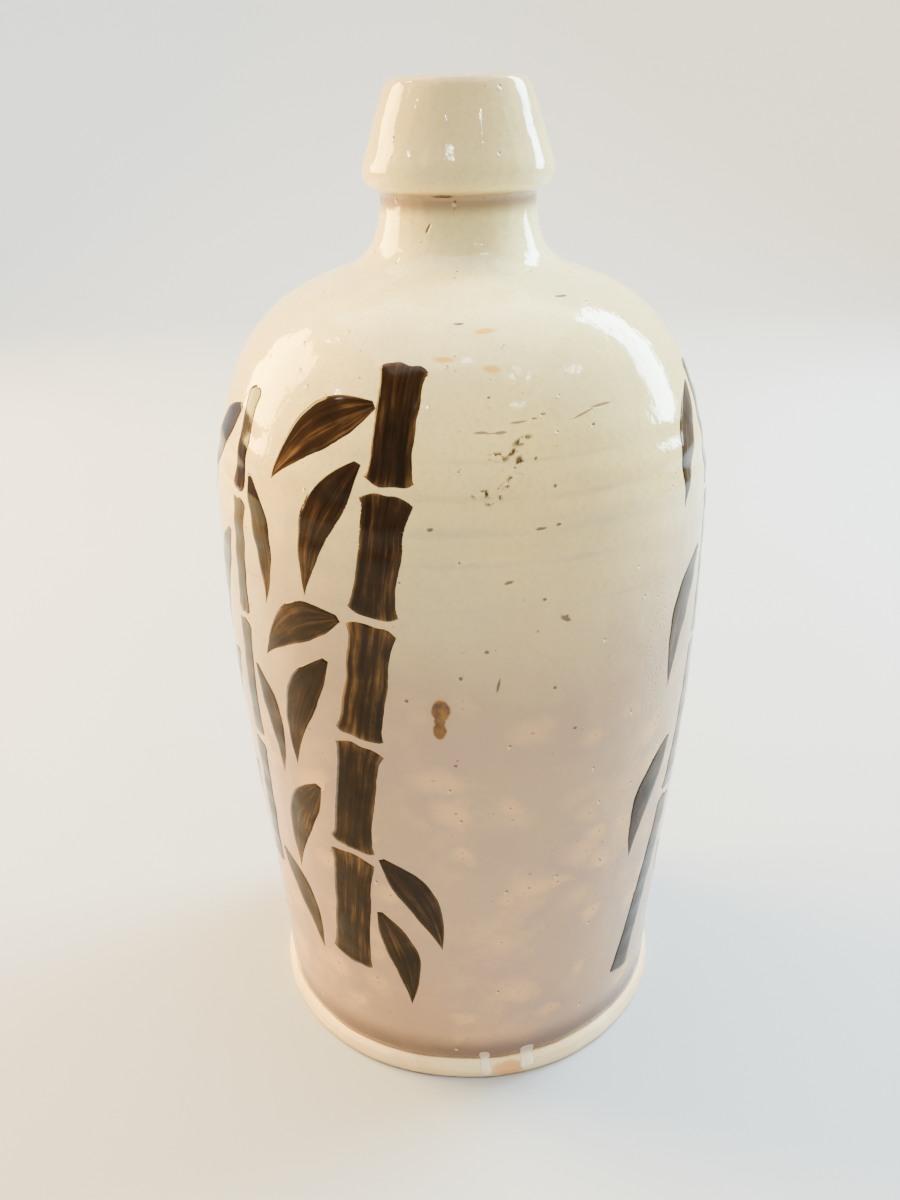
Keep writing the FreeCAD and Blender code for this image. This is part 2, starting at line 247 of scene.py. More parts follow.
def second_slopes(t, x):
    """Second derivatives at the knots of a natural cubic spline."""
    n = len(t)
    a = np.zeros((n, n))
    b = np.zeros(n)
    a[0, 0] = 1
    a[-1, -1] = 1
    for i in range(1, n - 1):
        a[i, i - 1] = t[i] - t[i - 1]
        a[i, i] = 2 * (t[i + 1] - t[i - 1])
        a[i, i + 1] = t[i + 1] - t[i]
        b[i] = 6 * ((x[i + 1] - x[i]) / (t[i + 1] - t[i]) - (x[i] - x[i - 1]) / (t[i] - t[i - 1]))
    return np.linalg.solve(a, b)


def spline_at(t, x, m, s):
    """The natural cubic spline through x at knots t, read at s."""
    i = np.clip(np.searchsorted(t, s) - 1, 0, len(t) - 2)
    h = t[i + 1] - t[i]
    u = (t[i + 1] - s) / h
    v = (s - t[i]) / h
    bend = ((u ** 3 - u) * m[i] + (v ** 3 - v) * m[i + 1]) * h * h / 6
    return u * x[i] + v * x[i + 1] + bend


def smooth(points, spacing):
    """Points at about this spacing on the smooth curve through the given ones."""
    p = np.array(points, dtype=float)
    t = np.concatenate([[0], np.cumsum(np.hypot(*np.diff(p, axis=0).T))])
    steps = max(2, int(round(t[-1] / spacing)))
    s = np.linspace(0, t[-1], steps + 1)
    r = spline_at(t, p[:, 0], second_slopes(t, p[:, 0]), s)
    z = spline_at(t, p[:, 1], second_slopes(t, p[:, 1]), s)
    return list(zip(r, z))


def leftward(points, depths):
    """The points moved square to their curve, to its left, by one depth or by a depth each."""
    p = np.array(points, dtype=float)
    along = np.gradient(p, axis=0)
    along /= np.hypot(along[:, 0], along[:, 1])[:, None]
    moved = p + np.column_stack([-along[:, 1], along[:, 0]]) * np.reshape(depths, (-1, 1))
    return [tuple(q) for q in moved]


def arc(centre, radius, start, end, steps):
    """Points on a circle from one angle to another, in degrees from +radius towards +height."""
    angles = np.radians(np.linspace(start, end, steps + 1))
    return [(centre[0] + radius * math.cos(a), centre[1] + radius * math.sin(a)) for a in angles]


def straight(a, b, spacing):
    """Points at about this spacing from a to b."""
    steps = max(1, int(round(math.dist(a, b) / spacing)))
    return [tuple(q) for q in np.linspace(a, b, steps + 1)]


def joined(*runs):
    """One run of points from several, with repeated ends dropped."""
    whole = []
    for run in runs:
        for q in run:
            if not whole or math.dist(q, whole[-1]) > MEETING:
                whole.append((float(q[0]), float(q[1])))
    return whole


def glazed_outside(spacing, depth=0.0):
    """The outside from the glaze line to the collar's crown, or a layer that far under it."""
    wall = smooth(WALL, spacing)
    neck = smooth(NECK, spacing)
    collar = smooth(COLLAR, spacing * 0.7)
    if depth:
        wall = leftward(wall, depth)
        neck = leftward(neck, depth)[1:]
        collar = leftward(collar, depth)
    return wall, neck, collar


def hollow(spacing, depth=0.0):
    """The inside from the floor's middle to the top of the bore, or a layer that far inside it."""
    outer = smooth(WALL, 5.0)
    depths = np.interp(np.linspace(0, 1, len(outer)), np.linspace(0, 1, len(WALL)), WALL_DEPTHS)
    start = FLOOR_Z + FLOOR_CORNER_R
    inner = [q for q in leftward(outer, depths) if q[1] > start + CORNER_REACH]
    foot_r = inner[0][0] - CORNER_TUCK
    wall = smooth([(foot_r, start)] + inner[::4] + [inner[-1]], spacing)
    throat = smooth([wall[-1]] + THROAT, spacing * 0.7)
    corner = arc((foot_r - FLOOR_CORNER_R, start), FLOOR_CORNER_R - depth, -90, 0, 8)
    floor = straight((0.0, FLOOR_Z + depth), corner[0], 6.0)
    if depth:
        wall = leftward(wall, depth)
        throat = leftward(throat, depth)
    bore = straight(throat[-1], (throat[-1][0], HEIGHT - LIP_ROUND), 2.5)
    return floor, corner, wall, throat, bore


# ---- the shared warp ----

def wander(azimuth, z, size, seed):
    """Smooth noise over the surface, between about -1 and 1, with features of this size in millimetres."""
    reach = BELLY_R / size
    spot = Vector((math.sin(azimuth) * reach, math.cos(azimuth) * reach, z / size + seed * 17.3))
    return noise.noise(spot) * 1.6


def pit_depth(azimuth, z):
    """How deep the small pits are here: each a dent with a faint raised rim."""
    total = 0.0
    for pit_azimuth, pit_z, radius, depth in PITS:
        if abs(z - pit_z) > 3 * radius:
            continue
        turn = math.remainder(azimuth - math.radians(pit_azimuth), math.tau)
        if abs(turn) * BELLY_R > 3 * radius:
            continue
        far = math.hypot(turn * BELLY_R, z - pit_z) / radius
        total += depth * (math.exp(-2.2 * far * far) - 0.35 * math.exp(-6 * (far - 1.25) ** 2))
    return total


def swell(azimuth, z):
    """How far the outside stands off the true turned shape at this place, in millimetres."""
    out = OVAL * math.cos(2 * azimuth - 0.8) * min(1.0, z / 60)
    out += LOPSIDED * math.sin(azimuth) * math.exp(-((z - 120) / 70) ** 2)
    wall = min(1.0, max(0.0, (215 - z) / 30))
    out += LUMP * wander(azimuth, z, 55.0, 1) * (0.35 + 0.65 * wall)
    out += LUMP * 0.35 * wander(azimuth, z, 20.0, 2) * (0.5 + 0.5 * wall)
    out += RIPPLE * wander(azimuth, z, 7.0, 3)
    ring = math.sin(math.tau * (z / RING_PITCH + azimuth / math.tau) + 1.8 * wander(azimuth, z, 60.0, 4))
    band = 0.35 + 1.25 * math.exp(-((z - RING_BAND_Z) / 16) ** 2)
    out += RING_DEPTH * ring * band * wall
    joint = math.exp(-((z - JOINT_LUMP_Z) / 0.9) ** 2)
    out += JOINT_LUMP * joint * (0.55 - 0.45 * math.sin(azimuth - 0.4) + 0.5 * wander(azimuth, z, 14.0, 5))
    return out


def warped(r, z, azimuth, pits=False):
    """The place in the bottle, in metres, of a point of the true turned shape."""
    push = swell(azimuth, z) * min(1.0, r / 30)
    if pits:
        push -= pit_depth(azimuth, z)
    lean = min(1.0, max(0.0, (z - LEAN_FROM_Z) / LEAN_REACH))
    lean = lean * lean * (3 - 2 * lean)
    above = max(0.0, z - TILT_FROM_Z) / (HEIGHT - TILT_FROM_Z)
    rise = LIP_TILT * math.sin(azimuth + 0.7) * above
    radius = max(0.0, r + push)
    x = radius * math.sin(azimuth) + COLLAR_LEAN[0] * lean
    y = -radius * math.cos(azimuth) + COLLAR_LEAN[1] * lean
    return Vector((x, y, max(0.0, z + rise))) * MM


def outside_radius(z):
    """The outside radius at this height."""
    return float(np.interp(z, OUTSIDE_Z, OUTSIDE_R))


OUTSIDE = joined([(FOOT_R, FOOT_WIDE_Z)], *glazed_outside(1.0))
OUTSIDE_Z = [q[1] for q in OUTSIDE]
OUTSIDE_R = [q[0] for q in OUTSIDE]


# ---- mesh building ----

def finish_mesh(name, mesh, node, material):
    """Makes the object for a finished mesh, riding on the bottle in place of its CAD node."""
    for polygon in mesh.polygons:
        polygon.use_smooth = True
    piece = bpy.data.objects.new(name, mesh)
    bpy.context.scene.collection.objects.link(piece)
    mesh.materials.append(material)
    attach(piece, "root")
    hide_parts(node)


def lathe(name, outline, segments, pits=False, shift=None):
    """A closed shell from a closed outline, which may start and end on the axis.

    The shift gives how far up to move a point, from its azimuth and height.
    """
    verts = []
    rings = []
    for r, z in outline:
        if r < ON_AXIS:
            rings.append([len(verts)])
            verts.append(warped(0.0, z, 0.0))
            continue
        ring = []
        for k in range(segments):
            azimuth = math.tau * k / segments
            lift = shift(azimuth, z) if shift else 0.0
            ring.append(len(verts))
            verts.append(warped(r, z + lift, azimuth, pits))
        rings.append(ring)
    faces = []
    pairs = list(zip(rings, rings[1:]))
    if len(rings[0]) > 1:
        pairs.append((rings[-1], rings[0]))
    for low, high in pairs:
        if len(low) == 1 and len(high) == 1:
            continue
        for k in range(segments):
            after = (k + 1) % segments
            if len(low) == 1:
                faces.append((low[0], high[after], high[k]))
            elif len(high) == 1:
                faces.append((low[k], low[after], high[0]))
            else:
                faces.append((low[k], low[after], high[after], high[k]))
    mesh = bpy.data.meshes.new(name)
    mesh.from_pydata(verts, [], faces)
    outward(mesh)
    return mesh


def outward(mesh):
    """Turns every face of a closed mesh outwards."""
    bm = bmesh.new()
    bm.from_mesh(mesh)
    bmesh.ops.recalc_face_normals(bm, faces=bm.faces)
    if bm.calc_volume(signed=True) < 0:
        bmesh.ops.reverse_faces(bm, faces=bm.faces)
    bm.to_mesh(mesh)
    bm.free()


def slab_faces(first, rows, columns):
    """The faces of a closed slab: two sheets of points, in rows, joined round their border."""
    row = columns + 1
    sheet = (rows + 1) * row
    faces = []
    for i in range(rows):
        for k in range(columns):
            q = first + i * row + k
            faces.append((q, q + 1, q + row + 1, q + row))
            faces.append((q + sheet, q + sheet + row, q + sheet + row + 1, q + sheet + 1))
    border = [(0, k) for k in range(columns)] + [(i, columns) for i in range(rows)]
    border += [(rows, k) for k in range(columns, 0, -1)] + [(i, 0) for i in range(rows, 0, -1)]
    ring = [first + i * row + k for i, k in border]
    for p, q in zip(ring, ring[1:] + ring[:1]):
        faces.append((q, p, p + sheet, q + sheet))
    return faces


def line_wander(azimuth, z):
    """Moves the glaze's lower edge up and down a little, dying out up the wall."""
    fade = math.exp(-max(0.0, z - GLAZE_LINE) / 3.0)
    return LINE_WANDER * fade * wander(azimuth, 0.0, 22.0, 6)


# ---- shader helpers ----

def srgb(r, g, b):
    """A colour given as 0 to 255 display values."""
    def linear(c):
        c = c / 255
        return c / 12.92 if c <= 0.04045 else ((c + 0.055) / 1.055) ** 2.4
    return (linear(r), linear(g), linear(b), 1.0)


class Shader:
    """A material with one Principled shader, and short calls for the nodes that feed it."""

    def __init__(self, name):
        self.material = bpy.data.materials.new(name)
        self.material.use_nodes = True
        self.tree = self.material.node_tree
        self.shader = self.tree.nodes["Principled BSDF"]
        self.place = self.node("ShaderNodeTexCoord").outputs["Object"]
        self.unroll()

    def node(self, kind, sockets=None, **settings):
        """A new node, with these values or links at its input sockets."""
        made = self.tree.nodes.new(kind)
        for key, value in settings.items():
            setattr(made, key, value)
        for key, value in (sockets or {}).items():
            self.feed(made.inputs[key], value)
        return made

    def feed(self, socket, value):
        if isinstance(value, bpy.types.NodeSocket):
            self.tree.links.new(value, socket)
        else:
            socket.default_value = value

    def unroll(self):
        """Keeps the height, the radius, and the outside laid flat: round from the front, up and inwards."""
        x, y, z = self.node("ShaderNodeSeparateXYZ", {0: self.place}).outputs
        self.radius = self.math("SQRT", self.plus(self.times(x, x), self.times(y, y)))
        turn = self.math("ARCTAN2", x, self.times(y, -1.0))
        up_and_in = self.minus(z, self.math("MAXIMUM", self.radius, COLLAR_R * MM))
        flat = self.node("ShaderNodeCombineXYZ", {0: self.times(turn, self.radius), 1: up_and_in})
        self.flat = flat.outputs[0]
        self.up = z

    def math(self, operation, a, b=0.0, clamp=False):
        made = self.node("ShaderNodeMath", {0: a, 1: b}, operation=operation, use_clamp=clamp)
        return made.outputs[0]

    def times(self, a, b):
        return self.math("MULTIPLY", a, b)

    def plus(self, a, b):
        return self.math("ADD", a, b)

    def minus(self, a, b):
        return self.math("SUBTRACT", a, b)

    def most(self, values):
        """The largest of several values."""
        whole = values[0]
        for value in values[1:]:
            whole = self.math("MAXIMUM", whole, value)
        return whole

    def vector(self, operation, a, b):
        return self.node("ShaderNodeVectorMath", {0: a, 1: b}, operation=operation)

    def step(self, value, low, high, out_low=0.0, out_high=1.0):
        """A smooth step of the value between low and high."""
        sockets = {"Value": value, "From Min": low, "From Max": high, "To Min": out_low, "To Max": out_high}
        return self.node("ShaderNodeMapRange", sockets, interpolation_type="SMOOTHSTEP").outputs["Result"]

    def noise(self, scale, detail=3.0, roughness=0.55, place=None, distortion=0.0):
        sockets = {"Vector": place or self.place, "Scale": scale, "Detail": detail, "Roughness": roughness,
                   "Distortion": distortion}
        return self.node("ShaderNodeTexNoise", sockets).outputs["Fac"]

    def ramp(self, value, stops):
        """Colours along a value, as (position, colour) stops."""
        made = self.node("ShaderNodeValToRGB", {"Fac": value})
        elements = made.color_ramp.elements
        while len(elements) < len(stops):
            elements.new(0.5)
        for element, (position, colour) in zip(elements, stops):
            element.position = position
            element.color = colour
        return made.outputs["Color"]

    def mix(self, share, a, b):
        """Colour a, with this share of it replaced by colour b."""
        made = self.node("ShaderNodeMix", {"Factor": share}, data_type="RGBA")
        colours_in = [socket for socket in made.inputs if socket.type == "RGBA"]
        self.feed(colours_in[0], a)
        self.feed(colours_in[1], b)
        return [socket for socket in made.outputs if socket.type == "RGBA"][0]

    def tint(self, tone, where, share, colour):
        """The tone, with this share of it replaced by the colour where the mask is 1."""
        return self.mix(self.times(where, share), tone, colour)

    def height(self):
        """Height above the foot, in millimetres."""
        return self.times(self.up, 1 / MM)

    def attribute(self, name):
        return self.node("ShaderNodeAttribute", attribute_name=name).outputs["Fac"]

    def stretched(self, across, up):
        """The flat place, scaled."""
        return self.node("ShaderNodeMapping", {"Vector": self.flat, "Scale": (across, up, 1.0)}).outputs[0]

    def beside(self, right, up):
        """The flat place, seen from this many millimetres to the right and up."""
        return self.vector("ADD", self.flat, (right * MM, up * MM, 0.0)).outputs[0]

    def strayed(self, place, scale, amount):
        """A flat place moved about by noise, by up to about half of the amount in millimetres."""
        noisy = self.node("ShaderNodeTexNoise", {"Vector": self.place, "Scale": scale, "Detail": 3.0})
        centred = self.vector("SUBTRACT", noisy.outputs["Color"], (0.5, 0.5, 0.5))
        moves = self.vector("MULTIPLY", centred.outputs[0], (amount * MM, amount * MM, 0.0))
        return self.vector("ADD", place, moves.outputs[0]).outputs[0]

    def flat_cells(self, spacing, place=None):
        """Distance to the nearest of scattered points, in spacings, and that point's random number."""
        sockets = {"Vector": place or self.flat, "Scale": 1 / (spacing * MM)}
        cells = self.node("ShaderNodeTexVoronoi", sockets, voronoi_dimensions="2D")
        pick = self.node("ShaderNodeSeparateColor", {0: cells.outputs["Color"]})
        return cells.outputs["Distance"], pick.outputs[0]

    def dots(self, spacing, share, radius, place=None):
        """Scattered dots of this radius in millimetres, on this share of the places."""
        away, pick = self.flat_cells(spacing, place)
        reach = radius / spacing
        return self.times(self.step(away, reach, reach * 0.4), self.step(pick, 1 - share, 1.01 - share))

    def spot(self, azimuth, z, half_width, half_height, soft, tilt=0.0, place=None):
        """A soft-edged ellipse on the outside, in millimetres, tilted by some degrees."""
        radius = outside_radius(z)
        turn = math.radians(tilt)
        middle = (math.radians(azimuth) * radius * MM, (z - max(radius, COLLAR_R)) * MM, 0.0)
        off = self.vector("SUBTRACT", place or self.flat, middle).outputs[0]
        lengthwise = (math.cos(turn) / (half_width * MM), math.sin(turn) / (half_width * MM), 0.0)
        crosswise = (-math.sin(turn) / (half_height * MM), math.cos(turn) / (half_height * MM), 0.0)
        a = self.vector("DOT_PRODUCT", off, lengthwise).outputs["Value"]
        b = self.vector("DOT_PRODUCT", off, crosswise).outputs["Value"]
        squared = self.plus(self.times(a, a), self.times(b, b))
        return self.step(squared, (1 - soft) ** 2, (1 + soft) ** 2, 1.0, 0.0)

    def marks(self, places, soft, place=None):
        """Several spots together."""
        return self.most([self.spot(a, z, w, h, soft, tilt, place) for a, z, w, h, tilt in places])

    def bump(self, height, distance_mm, strength, below=None):
        sockets = {"Height": height, "Distance": distance_mm * MM, "Strength": strength}
        if below is not None:
            sockets["Normal"] = below
        return self.node("ShaderNodeBump", sockets).outputs["Normal"]

    def done(self, colour, roughness, normal=None, specular=0.5):
        self.feed(self.shader.inputs["Base Color"], colour)
        self.feed(self.shader.inputs["Roughness"], roughness)
        self.shader.inputs["Specular IOR Level"].default_value = specular
        if normal is not None:
            self.feed(self.shader.inputs["Normal"], normal)
        return self.material


# ---- materials ----

# Marks in the glaze: azimuth, height, half width, half height, tilt. Degrees and millimetres.
AMBER_DROPS = [
    (-4.8, 126.5, 2.2, 2.9, 0.0),
    (-5.0, 123.6, 1.4, 1.6, 0.0),
    (-5.1, 121.0, 1.6, 2.3, 0.0),
]
YELLOW_SPOTS = [
    (7.2, 210.6, 2.1, 0.9, 6.0),
    (-3.6, 205.7, 2.0, 0.9, -6.0),
    (7.7, 203.8, 1.8, 1.1, -14.0),
]
SCRATCHES = [
    (27.3, 193.6, 2.7, 0.3, 22.0),
    (32.2, 194.7, 2.5, 0.4, 4.0),
    (12.3, 193.3, 1.6, 0.34, 6.0),
    (15.8, 193.8, 0.6, 0.34, 0.0),
    (17.9, 194.5, 0.6, 0.4, 0.0),
    (4.3, 191.6, 1.4, 0.38, 0.0),
    (6.3, 191.4, 1.6, 0.16, 0.0),
    (8.4, 191.4, 1.2, 0.48, 4.0),
]
SMUDGES = [
    (7.6, 186.6, 1.9, 1.1, -10.0),
    (10.2, 187.4, 1.7, 0.7, 20.0),
    (12.8, 189.6, 2.0, 0.9, 35.0),
    (11.9, 185.4, 0.8, 1.5, 0.0),
    (7.6, 183.3, 1.0, 0.6, 30.0),
    (10.6, 181.9, 1.6, 1.0, 30.0),
    (8.4, 180.3, 1.6, 0.7, 40.0),
    (4.2, 179.1, 2.1, 0.9, 10.0),
    (6.6, 178.0, 2.0, 0.9, 35.0),
    (15.5, 185.6, 0.5, 0.8, 0.0),
]
DARK_TICKS = [
    (20.8, 148.1, 1.4, 0.5, -30.0),
    (-19.3, 229.5, 1.1, 0.34, 60.0),
    (-9.0, 236.5, 2.2, 0.3, 0.0),
    (38.4, 215.2, 1.8, 0.5, -8.0),
    (0.2, 211.9, 1.0, 0.45, 0.0),
    (29.3, 191.1, 0.4, 0.4, 0.0),
    (6.3, 198.5, 0.34, 0.34, 0.0),
    (18.9, 179.6, 0.36, 0.36, 0.0),
    (15.5, 170.7, 1.1, 0.36, 4.0),
    (19.2, 171.1, 0.6, 0.34, 0.0),
    (-0.6, 135.4, 0.4, 0.4, 0.0),
    (18.9, 130.4, 0.38, 0.38, 0.0),
    (-11.8, 128.9, 0.38, 0.38, 0.0),
    (9.0, 158.9, 1.0, 0.4, 8.0),
    (7.0, 133.0, 0.3, 1.7, -14.0),
]
POCKED = (48.0, 128.0, 5.5, 17.0)          # azimuth, height, half width, half height of a pitted place
PATCHES = [(19.0, 0.35), (11.5, 0.55)]     # spacing, and the share of places with none
THROWING_LINES = [(186.5, 0.8), (178.5, 1.2), (171.0, 1.7), (163.5, 1.1), (152.0, 0.8)]  # height, half width
CRATER_SPACING = 12.0
CRATER_SHARE = 0.34


def glaze_tone_and_shade(s, z):
    """The broad colour: cream above, rosier below, clouded; its ramp up the wall is partly painted shading,
    darker low on the wall and brighter at the shoulder where light falls from above, and it adds painted
    shade above the foot and a painted shadow under the collar.
    """
    uneven = s.times(s.minus(s.noise(22.0, 3.0), 0.5), 0.22)
    level = s.math("ADD", s.math("DIVIDE", z, HEIGHT), uneven, clamp=True)
    # Partly painted shading: the ramp is darker low on the wall and brightest at the shoulder, as if lit from
    # above.
    tone = s.ramp(level, [
        (0.0, srgb(186, 144, 108)),
        (0.3, srgb(178, 145, 114)),
        (0.48, srgb(174, 146, 112)),
        (0.6, srgb(206, 180, 128)),
        (0.72, srgb(246, 217, 138)),
        (0.84, srgb(253, 238, 170)),
        (1.0, srgb(206, 184, 128)),
    ])
    greenish = s.times(s.step(s.noise(28.0, 2.0), 0.46, 0.66), s.step(z, 95.0, 160.0))
    tone = s.tint(tone, greenish, 0.4, srgb(202, 190, 140))
    mauve = s.times(s.step(s.noise(36.0, 3.0), 0.44, 0.62), s.step(z, 170.0, 110.0))
    tone = s.tint(tone, mauve, 0.55, srgb(168, 136, 114))
    grain = s.times(s.step(s.noise(750.0, 3.0, 0.6), 0.42, 0.72), 0.16)
    tone = s.mix(grain, tone, srgb(160, 128, 96))
    # Painted shade: a dark band just above the foot.
    painted_shade_above_foot = s.times(s.step(z, 17.0, 9.5), s.step(s.noise(45.0, 2.0), 0.15, 0.5, 0.75, 1.0))
    tone = s.tint(tone, painted_shade_above_foot, 0.9, srgb(108, 84, 74))
    # Painted shadow of the collar on the neck.
    painted_collar_shadow = s.times(s.step(z, 231.0, 234.8), s.step(z, 238.2, 236.4))
    return s.tint(tone, painted_collar_shadow, 0.9, srgb(142, 116, 96))


def thin_patches(s, z):
    """Warm pale patches low on the wall where the glaze is thin, and the pinhole in the middle of each."""
    low = s.times(s.step(z, 152.0, 95.0), s.step(z, 9.0, 19.0))
    place = s.strayed(s.stretched(1.0, 1.5), 60.0, 16.0)
    frayed = s.times(s.minus(s.noise(120.0, 5.0, 0.65), 0.5), 0.6)
    blots = [s.step(s.noise(52.0, 4.0, 0.6), 0.5, 0.72, 0.0, 0.6)]
    holes = []
    for spacing, rare in PATCHES:
        away, pick = s.flat_cells(spacing, place)
        chosen = s.step(pick, rare, rare + 0.4)
        blots.append(s.times(s.step(s.plus(away, frayed), 0.48, 0.04), chosen))
        reach = s.times(s.minus(pick, rare), 0.85 / spacing)
        holes.append(s.step(s.minus(away, reach), 0.012, -0.012))
    return s.times(s.most(blots), low), s.times(s.most(holes), low)


def craters(s):
    """Small craters scattered over the wall: a dark core, and a raised lip beside and below it whose pale
    colour is a painted glint.
    """
    core = s.dots(CRATER_SPACING, CRATER_SHARE, 0.4)
    return core, s.dots(CRATER_SPACING, CRATER_SHARE, 0.66, s.beside(0.3, 0.55))


def throwing_lines(s, z):
    """Faint grey lines round the wall left by the thrower's fingers, fading in and out."""
    wavy = s.plus(z, s.times(s.minus(s.noise(18.0, 2.0), 0.5), 5.0))
    lines = []
    for level, half in THROWING_LINES:
        off = s.math("ABSOLUTE", s.minus(wavy, level))
        lines.append(s.step(off, half, half * 0.15))
    return s.times(s.most(lines), s.step(s.noise(26.0, 3.0), 0.38, 0.66))


def cream_glaze():
    """The outside glaze: cream and glassy, with patches, specks, pinholes, scratches and amber drops."""
    s = Shader("cream_glaze")
    z = s.height()
    tone = glaze_tone_and_shade(s, z)
    patch, hole = thin_patches(s, z)
    tone = s.tint(tone, patch, 0.66, srgb(226, 174, 112))
    tone = s.tint(tone, throwing_lines(s, z), 0.3, srgb(158, 144, 120))

    fine = s.strayed(s.flat, 520.0, 0.7)
    broken = s.step(s.noise(620.0, 3.0, 0.6), 0.47, 0.56)
    tone = s.tint(tone, s.marks(SMUDGES, 0.6, fine), broken, srgb(72, 56, 36))
    tone = s.tint(tone, s.marks(YELLOW_SPOTS, 0.55, fine), 0.95, srgb(236, 174, 4))
    cuts = s.marks(SCRATCHES, 0.4)
    tone = s.tint(tone, cuts, 0.75, srgb(122, 84, 46))
    drops = s.marks(AMBER_DROPS, 0.16, fine)
    amber = s.ramp(s.noise(260.0, 3.0), [(0.38, srgb(66, 32, 0)), (0.66, srgb(122, 78, 0))])
    tone = s.tint(tone, s.marks(AMBER_DROPS, 0.5, fine), 0.4, srgb(190, 140, 66))
    tone = s.mix(drops, tone, amber)
    ticks = s.marks(DARK_TICKS, 0.4, fine)
    cores = s.marks([(a, h, r * 0.32, r * 0.24, 0.0) for a, h, r, depth in PITS], 0.5, fine)
    tone = s.tint(tone, s.most([ticks, cores]), 0.85, srgb(70, 50, 32))

    pocks = s.times(s.dots(1.7, 0.45, 0.36), s.spot(*POCKED, 0.5))
    tone = s.tint(tone, pocks, 0.35, srgb(150, 118, 86))

    core, lip = craters(s)
    # Painted glints: the crater lips are coloured pale on one side.
    tone = s.tint(tone, lip, 0.4, srgb(244, 214, 162))
    tone = s.tint(tone, core, 0.75, srgb(84, 60, 38))

    specks = s.most([s.dots(7.5, 0.16, 0.3), s.dots(4.3, 0.1, 0.17), s.dots(19.0, 0.22, 0.5)])
    tone = s.tint(tone, specks, 0.62, srgb(104, 74, 46))
    tone = s.tint(tone, hole, 0.7, srgb(112, 80, 52))

    rough = s.step(s.noise(34.0, 3.0), 0.3, 0.75, 0.045, 0.1)
    rough = s.plus(rough, s.times(patch, 0.04))
    waves = s.bump(s.noise(135.0, 3.0, 0.5), 0.34, 0.7)
    peel = s.bump(s.noise(430.0, 3.0), 0.09, 0.7, waves)
    dents = s.plus(s.times(patch, -0.3), s.times(hole, -1.0))
    dents = s.minus(dents, s.most([cuts, cores, ticks, pocks, core]))
    dents = s.plus(dents, s.times(lip, 0.6))
    return s.done(tone, rough, s.bump(dents, 0.3, 0.8, peel), 0.34)


def lining_glaze():
    """The inside glaze, thinner and a little darker, with pooled streaks."""
    s = Shader("lining_glaze")
    flow = s.noise(40.0, 4.0, 0.6, distortion=0.6)
    tone = s.ramp(flow, [
        (0.3, srgb(180, 150, 108)),
        (0.6, srgb(212, 188, 142)),
        (0.8, srgb(224, 204, 160)),
    ])
    tone = s.tint(tone, s.dots(6.0, 0.2, 0.35), 0.7, srgb(120, 84, 50))
    rough = s.step(s.noise(60.0, 3.0), 0.3, 0.7, 0.1, 0.26)
    normal = s.bump(s.noise(220.0, 3.0), 0.15, 0.5)
    return s.done(tone, rough, normal)


def bare_clay():
    """The unglazed foot: pale cream clay, sandy, with turning lines, iron specks and toasted patches."""
    s = Shader("bare_clay")
    tone = s.ramp(s.noise(55.0, 4.0, 0.6), [
        (0.3, srgb(238, 198, 142)),
        (0.5, srgb(250, 218, 160)),
        (0.7, srgb(253, 232, 184)),
    ])
    toast = s.step(s.noise(26.0, 3.0, 0.55), 0.52, 0.68)
    tone = s.tint(tone, toast, 0.4, srgb(222, 166, 104))
    flash = s.spot(11.0, 3.6, 4.4, 2.6, 0.45, 0.0, s.strayed(s.flat, 300.0, 1.6))
    tone = s.tint(tone, flash, 0.75, srgb(222, 152, 82))
    sand = s.step(s.noise(1500.0, 2.0), 0.58, 0.72)
    tone = s.tint(tone, sand, 0.28, srgb(176, 140, 98))
    tone = s.tint(tone, s.dots(3.6, 0.14, 0.24), 0.75, srgb(112, 76, 46))
    grit = s.bump(s.noise(1100.0, 4.0, 0.7), 0.1, 0.8)
    normal = s.bump(turning_lines(s), 0.1, 0.6, grit)
    rough = s.step(s.noise(300.0, 3.0), 0.3, 0.7, 0.42, 0.68)
    return s.done(tone, rough, normal, 0.35)


def turning_lines(s):
    """Fine rings about the axis, from the turning tool."""
    reach = s.plus(s.radius, s.times(s.height(), 0.8 * MM))
    waver = s.plus(s.times(reach, 3900.0), s.times(s.noise(40.0, 2.0), 4.0))
    return s.times(s.math("SINE", waver), s.noise(120.0, 3.0))


def stoneware():
    """The clay body under the glaze: buff, sandy and dry."""
    s = Shader("stoneware")
    tone = s.ramp(s.noise(70.0, 4.0, 0.6), [(0.3, srgb(200, 168, 120)), (0.7, srgb(226, 200, 156))])
    sand = s.step(s.noise(1300.0, 2.0), 0.56, 0.7)
    tone = s.tint(tone, sand, 0.35, srgb(150, 122, 90))
    normal = s.bump(s.noise(900.0, 4.0, 0.7), 0.15, 0.8)
    return s.done(tone, s.step(s.noise(200.0, 3.0), 0.3, 0.7, 0.7, 0.9), normal, 0.25)


